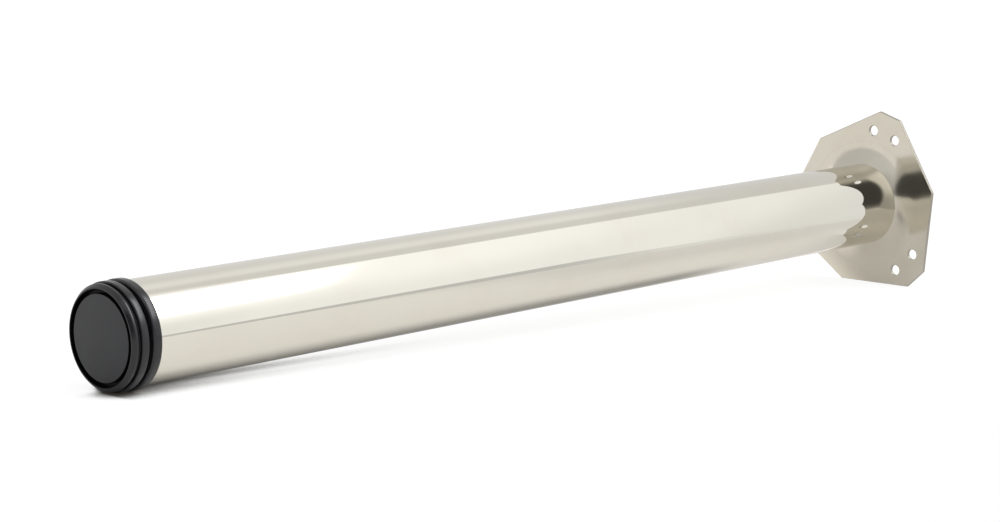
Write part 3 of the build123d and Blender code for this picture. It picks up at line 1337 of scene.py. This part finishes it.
@dataclass(frozen=True)
class Studio:
    """White table and a large soft light overhead and in front, with dimmer walls behind.

    The world's level goes by direction: x is a unit direction's part along the leg, y away from the camera
    and z upwards. A range in x, y or z is a soft change from its first value to its second. Angles are in
    degrees, and places on the floor are in metres.
    """

    # floor, and its white as the leg mirrors it and as the camera sees it
    floor_colour: Colour = (0.40, 0.40, 0.40, 1.0)
    floor_seen_colour: Colour = (0.22, 0.22, 0.22, 1.0)
    floor_lifts: Range = (0.48, 0.85)
    # warm painted bounce light from the nickel, on the floor as the leg mirrors it
    mirrored_bounce_tint: Colour = (1.02, 1.0, 0.98, 1.0)
    floor_edge: Range = (0.0, -0.36)
    floor_turn: float = 24.0
    floor_reach: float = 20.0
    floor_shades: tuple[FloorShade, ...] = (
        # painted light far behind the leg
        FloorShade(0.17, near=(0.12, 0.40)),
        # painted shade before the plate's half of the leg
        FloorShade(-0.115, enter=(-0.05, 0.15), far=(-0.10, -0.04)),
        # painted shadow of the plate, behind it
        FloorShade(-0.40, enter=(0.352, 0.362), near=(-0.055, -0.035)),
        # painted shadow under the tube
        FloorShade(-0.36, leave=(0.14, 0.24), near=(-0.032, -0.009), far=(0.0, 0.03)),
        # painted light in the corner between the tube and the plate
        FloorShade(0.38, enter=(0.338, 0.372), leave=(0.352, 0.362), skew=0.92),
    )

    # soft shadow next to the leg, and the strip of floor that holds it
    contact_colour: Colour = (0.02, 0.016, 0.01, 1.0)
    close_shadows: tuple[CloseShadow, ...] = (
        CloseShadow((-0.023, -0.525, 0.851), seen_range=(0.165, 0.292), mirrored_range=(0.13, 0.36)),
        CloseShadow((0.856, 0.336, 0.392), seen_range=(0.40, 0.53), mirrored_range=(0.395, 0.535)),
    )
    close_fade: Range = (0.0, 0.24)
    close_strip: Range = (-0.47, 0.24)
    close_width: float = 0.16

    # soft light overhead and in front
    front_level: float = 0.68
    front_tint: Colour = (0.99, 1.0, 1.015, 1.0)
    panels: tuple[Panel, ...] = (
        # wide rise towards the plate's end
        Panel(0.29, enter=(-0.40, 0.40)),
        # paler stretch, mirrored by the middle of the tube
        Panel(0.09, enter=(0.595, 0.635), leave=(0.755, 0.785)),
        # upper half, brighter step by step towards the top
        Panel(0.15, enter=(0.20, 0.40), leave=(0.67, 0.75), rise=(0.05, 0.65)),
        Panel(0.30, enter=(0.20, 0.40), leave=(0.60, 0.655), rise=(0.20, 0.62)),
        # lamp itself, mirrored as the tube's brightest band near the foot
        Panel(3.8, enter=(0.34, 0.44), leave=(0.60, 0.64), rise=(0.44, 0.60), ahead=(0.03, 0.15)),
        # dimmer far end, mirrored next to the plate
        Panel(-0.07, enter=(0.765, 0.80)),
        # light over the foot's end, mirrored by the plate
        Panel(0.66, leave=(-0.30, 0.40), rise=(0.10, 0.65)),
    )
    light_back_edge: float = 88.5
    edge_blur: Range = (0.565, 0.625)
    edge_softness: Range = (0.13, 0.02)

    # walls behind the light, with a lighter band
    back_change: Range = (0.70, 0.76)
    back_levels: Range = (0.78, 0.73)
    back_band: float = 0.14
    band_start: Range = (-0.60, -0.36)
    band_end: Range = (-0.33, -0.17)

    # room below the horizon, which drops past the plate
    below_change: Range = (0.72, 0.765)
    below_levels: Range = (0.64, 0.88)
    horizon: Range = (-0.035, -0.015)
    horizon_change: Range = (0.735, 0.80)
    horizon_drop: float = 0.13

    # dark opening beside the camera
    dark_level: float = 0.085
    dark_direction: Triple = (-0.900, -0.345, 0.255)
    dark_angles: Range = (29.0, 18.5)
    halo_angles: Range = (52.0, 26.0)
    halo_share: float = 0.16

    def build(self) -> None:
        """Builds the world and the floor, and sets the plain view transform."""
        bpy.context.scene.view_settings.view_transform = "Standard"
        self._build_world()
        self._build_floor()

    def _build_world(self) -> None:
        """Lights the leg by direction, with a white background for the camera."""
        world = bpy.data.worlds.new("studio")
        world.use_nodes = True
        bpy.context.scene.world = world
        bench = NodeBench(world.node_tree)
        direction = bench.add("ShaderNodeTexCoord").outputs["Generated"]
        split = bench.add("ShaderNodeSeparateXYZ", {"Vector": direction}).outputs
        x, z = split["X"], split["Z"]
        before_edge = self._before_edge(bench, split["Y"], z)
        softness = bench.ramp(x, *self.edge_blur, *self.edge_softness)
        in_front = bench.ramp(bench.math("DIVIDE", before_edge, softness), -1.0, 1.0)
        front: Any = self.front_level
        for panel in self.panels:
            front = bench.math("ADD", panel.share(bench, x, z, before_edge), front)
        level = bench.blend(in_front, self._back(bench, x, before_edge), front)
        below = bench.ramp(x, *self.below_change, *self.below_levels)
        level = bench.blend(self._above(bench, x, z), below, level)
        level = bench.blend(self._dark(bench, direction), level, self.dark_level)
        tint = bench.mix(in_front, WHITE, self.front_tint)
        seen = bench.add("ShaderNodeLightPath").outputs["Is Camera Ray"]
        inputs = {
            "Color": bench.mix(seen, tint, WHITE),
            "Strength": bench.blend(seen, level, 1.0),
        }
        background = bench.add("ShaderNodeBackground", inputs)
        output = bench.add("ShaderNodeOutputWorld")
        bench.feed(output.inputs["Surface"], background.outputs["Background"])

    def _before_edge(self, bench: NodeBench, y: Any, z: Any) -> Socket:
        """Gives -y sin e - z cos e, which is positive in front of the light's back edge at the angle e."""
        edge = math.radians(self.light_back_edge)
        return bench.math("ADD", bench.product(y, -math.sin(edge)), bench.product(z, -math.cos(edge)))

    def _back(self, bench: NodeBench, x: Any, before_edge: Any) -> Socket:
        """Gives the level of the walls behind, with a lighter band a little behind the light's edge."""
        wall = bench.ramp(x, *self.back_change, *self.back_levels)
        band = bench.fade(before_edge, self.band_start, self.band_end)
        side = bench.fade(x, leave=self.back_change)
        return bench.math("ADD", wall, bench.product(band, side, self.back_band))

    def _above(self, bench: NodeBench, x: Any, z: Any) -> Socket:
        """Tells the light above the horizon from the room below it; the horizon drops past the plate."""
        start, end = self.horizon_change
        inputs = {"Value": x, "From Min": start, "From Max": end, "To Max": self.horizon_drop}
        drop = bench.add("ShaderNodeMapRange", inputs).outputs["Result"]
        return bench.ramp(bench.math("ADD", z, drop), *self.horizon)

    def _dark(self, bench: NodeBench, direction: Any) -> Socket:
        """Marks the round dark opening beside the camera, with a dimmer halo round it."""
        middle_way = Vector(self.dark_direction).normalized()
        toward = bench.vector_math("DOT_PRODUCT", direction, middle_way).outputs["Value"]
        middle, halo = (
            bench.ramp(toward, *np.cos(np.radians(angles)))
            for angles in (self.dark_angles, self.halo_angles)
        )
        return bench.math("MAXIMUM", middle, bench.product(halo, self.halo_share))

    def _build_floor(self) -> None:
        """Lays the white floor, whose front edge runs askew before the leg.

        Its corners are P - r u, P + r u, P + r u + r n and P - r u + r n, for a point P on the front edge,
        the edge's direction u, the direction n away from the camera and the reach r.
        """
        turned = math.radians(self.floor_turn)
        along = Vector((math.cos(turned), math.sin(turned), 0.0)) * self.floor_reach
        away = Vector((-math.sin(turned), math.cos(turned), 0.0)) * self.floor_reach
        edge = Vector((*self.floor_edge, 0.0))
        corners = [edge - along, edge + along, edge + along + away, edge - along + away]
        mesh = bpy.data.meshes.new("floor")
        mesh.from_pydata(corners, [], [(0, 1, 2, 3)])
        mesh.materials.append(self._floor_material())
        floor = bpy.data.objects.new("floor", mesh)
        bpy.context.scene.collection.objects.link(floor)

    def _floor_material(self) -> bpy.types.Material:
        """Makes the floor's white, which for the camera is lifted so that mostly the close shadow shows.

        Returns:
            The floor's material.
        """
        material = bpy.data.materials.new("floor_white")
        material.use_nodes = True
        bench = NodeBench(material.node_tree)
        seen = bench.add("ShaderNodeLightPath").outputs["Is Camera Ray"]
        colour = bench.mix(seen, self.floor_colour, self.floor_seen_colour)
        matt = bench.add("ShaderNodeBsdfDiffuse", {"Color": colour})
        both = bench.add("ShaderNodeAddShader")
        bench.feed(both.inputs[0], matt.outputs["BSDF"])
        bench.feed(both.inputs[1], self._floor_glow(bench, seen))
        output = bench.add("ShaderNodeOutputMaterial")
        bench.feed(output.inputs["Surface"], both.outputs["Shader"])
        return material

    def _floor_glow(self, bench: NodeBench, seen: Socket) -> Socket:
        """Makes the lift of the floor's white, with the close shadow in the strip next to the leg.

        Args:
            bench: The floor's bench.
            seen: 1 where the camera looks at the floor, 0 where the leg mirrors it.

        Returns:
            The glow's shader, in which the close shadow is worked out only in its strip.
        """
        place = bench.add("ShaderNodeTexCoord").outputs["Object"]
        split = bench.add("ShaderNodeSeparateXYZ", {"Vector": place}).outputs
        x, y = split["X"], split["Y"]
        mirrored, direct = self.floor_lifts
        # painted light and shade on the floor, as the leg mirrors it
        for shade in self.floor_shades:
            mirrored = bench.math("ADD", shade.share(bench, x, y), mirrored)
        strength = bench.blend(seen, mirrored, direct)
        # the mirrored floor is warmed by the painted bounce light
        white = bench.mix(seen, self.mirrored_bounce_tint, WHITE)
        shares = [shadow.share(bench, seen) for shadow in self.close_shadows]
        close = bench.math("MAXIMUM", bench.product(*shares), bench.ramp(x, *self.close_fade))
        shaded = bench.mix(close, self.contact_colour, white)
        beside = bench.math("LESS_THAN", bench.math("ABSOLUTE", y), self.close_width)
        strip = bench.product(bench.within(x, self.close_strip), beside)
        glow = bench.add("ShaderNodeMixShader", {"Fac": strip})
        for socket, tone in zip(glow.inputs[1:], (white, shaded)):
            emission = bench.add("ShaderNodeEmission", {"Color": tone, "Strength": strength})
            bench.feed(socket, emission.outputs["Emission"])
        return glow.outputs["Shader"]


def finishes(axes: LegAxes, shelf: EffectShelf) -> dict[Slot, bpy.types.Material]:
    """Builds every finish of the leg.

    Args:
        axes: The leg's axes.
        shelf: Shared shader effects.

    Returns:
        The material of each slot.
    """
    table = float(axes.mount("table_face")[2])
    cap_radius = Span.of("sole_cap", axes).radius
    # radii where shade is painted in the groove round the cap, on the foot and on the cap's side
    groove = (cap_radius - GROOVE_SHADE_MARGIN, Foot.lip_radius - Foot.lip_width + GROOVE_SHADE_MARGIN)
    made = {
        Slot.TUBE: PlatedFinish(
            name="polished_nickel",
            clean_colour=(0.79, 0.757, 0.672, 1.0),
            smudged_colour=(0.765, 0.725, 0.637, 1.0),
            clean_roughness=0.03,
            smudged_roughness=0.055,
            smudge_scale=14.0,
            line_stretch=(900.0, 900.0, 6.0),
            line_depth=0.0004 * MM,
            bore_radius=Span.of("leg_tube", axes).radius - Tube.wall / 2,
        ),
        Slot.PLATE: PlatedFinish(
            name="satin_nickel",
            clean_colour=(0.59, 0.558, 0.48, 1.0),
            smudged_colour=(0.563, 0.527, 0.447, 1.0),
            clean_roughness=0.12,
            smudged_roughness=0.16,
            smudge_scale=22.0,
            line_stretch=(500.0, 60.0, 60.0),
            line_depth=0.0006 * MM,
            cut_radius=ScrewPlate.dish_radius + ScrewPlate.flat_margin,
            cut_heights=(table - ScrewPlate.thickness + CUT_MARGIN, table - CUT_MARGIN),
            # cut edges darker: a dull sheared edge and painted shade on the screw holes' walls
            dull_and_shade_colour=(0.44, 0.41, 0.35, 1.0),
        ),
        Slot.WELD: PlatedFinish(
            name="weld_nickel",
            clean_colour=(0.62, 0.58, 0.51, 1.0),
            smudged_colour=(0.45, 0.41, 0.36, 1.0),
            clean_roughness=0.22,
            smudged_roughness=0.40,
            smudge_scale=90.0,
            line_stretch=(700.0, 700.0, 700.0),
            line_depth=0.02 * MM,
        ),
        Slot.PLASTIC: MouldedFinish(
            name="black_moulding",
            colour=(0.008, 0.008, 0.010, 1.0),
            rubbed_colour=(0.013, 0.013, 0.015, 1.0),
            roughness=0.20,
            rubbed_roughness=0.28,
            grain_scale=4200.0,
            grain_depth=0.004 * MM,
            groove=groove,
        ),
        Slot.CAP: MouldedFinish(
            name="grey_moulding",
            colour=(0.019, 0.020, 0.023, 1.0),
            rubbed_colour=(0.031, 0.032, 0.035, 1.0),
            roughness=0.50,
            rubbed_roughness=0.62,
            grain_scale=3600.0,
            grain_depth=0.012 * MM,
            groove=groove,
            rub_scale=34.0,
        ),
        Slot.ZINC: ZincFinish(),
    }
    return {slot: finish.material(shelf) for slot, finish in made.items()}


def dress_nut(shop: Workshop) -> None:
    """Gives the nut, which keeps its solid from the frame, its zinc finish."""
    nut = frame["nodes"]["insert_nut"]
    nut.data.materials.clear()
    nut.data.materials.append(shop.materials[Slot.ZINC])
    log.info("insert_nut: dressed in zinc")


def main() -> None:
    """Builds the leg and its studio."""
    logging.basicConfig(level=logging.INFO, format="%(name)s %(message)s")
    axes = LegAxes.from_frame()
    shop = Workshop(axes, finishes(axes, EffectShelf()))
    for part in (Tube, ScrewPlate, WeldRing, Plug, Stud, Foot):
        part(shop).build()
    dress_nut(shop)
    Studio().build()
    StudioCamera().build()


if __name__ == "__main__":
    main()
